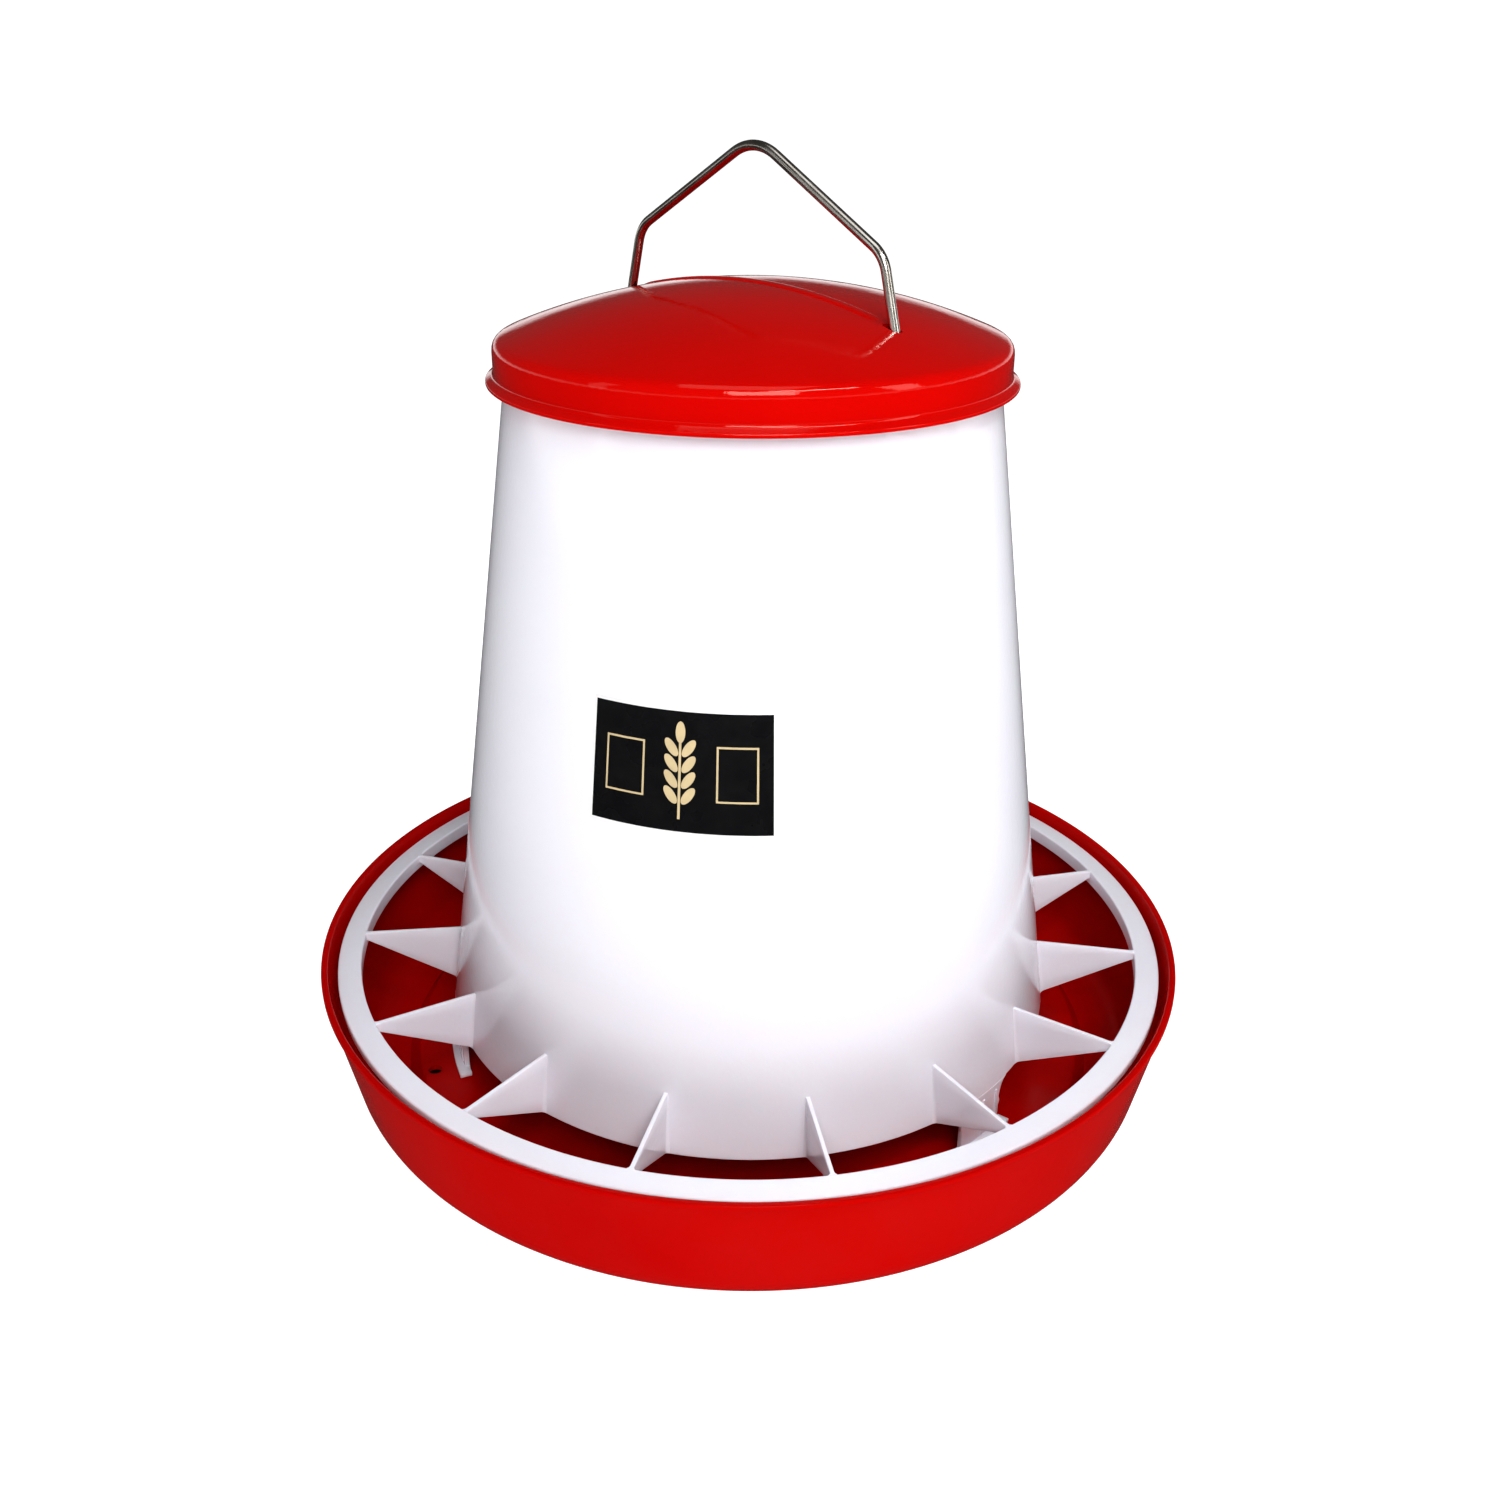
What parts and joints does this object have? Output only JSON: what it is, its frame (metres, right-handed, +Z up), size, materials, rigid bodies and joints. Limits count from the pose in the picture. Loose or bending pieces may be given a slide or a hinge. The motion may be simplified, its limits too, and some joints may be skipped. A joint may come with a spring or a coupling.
{
  "type": "poultry feeder",
  "caption": "Hanging gravity feeder for poultry: red pan and domed lid, white tapered hopper with an anti-waste grille, and a wire bail.",
  "frame": {"origin": "on the ground at the middle of the pan's base ring", "axes": "+Z up along the axis of the turned parts; +X from the axis to the right-hand leg of the bail, which lies in the XZ plane"},
  "size_m": [0.4, 0.4, 0.4096],
  "materials": {
    "pan_plastic": "moulded red plastic, glossy",
    "lid_plastic": "moulded red plastic, glossy",
    "hopper_plastic": "translucent white plastic, glossy",
    "wire": "bright drawn wire",
    "label_film": null
  },
  "bodies": {
    "pan": {"pan_wall_ring": "pan_plastic", "pan_floor": "pan_plastic", "feed_cone": "pan_plastic"},
    "hopper": {"hopper_tube": "hopper_plastic", "grille_fins": "hopper_plastic", "grille_ring": "hopper_plastic", "bayonet_legs": "hopper_plastic", "bail": "wire", "label": "label_film"},
    "lid": {"lid": "lid_plastic"}
  },
  "joints": [
    {"name": "pan_twist", "type": "hinge", "parent": "pan", "child": "hopper", "pos_m": [0, 0, 0], "axis": [0, 0, 1], "range_deg": [-12, 0]},
    {"name": "lid_lift", "type": "slide", "parent": "hopper", "child": "lid", "axis": [0, 0, 1], "range_m": [0, 0.01]}
  ]
}
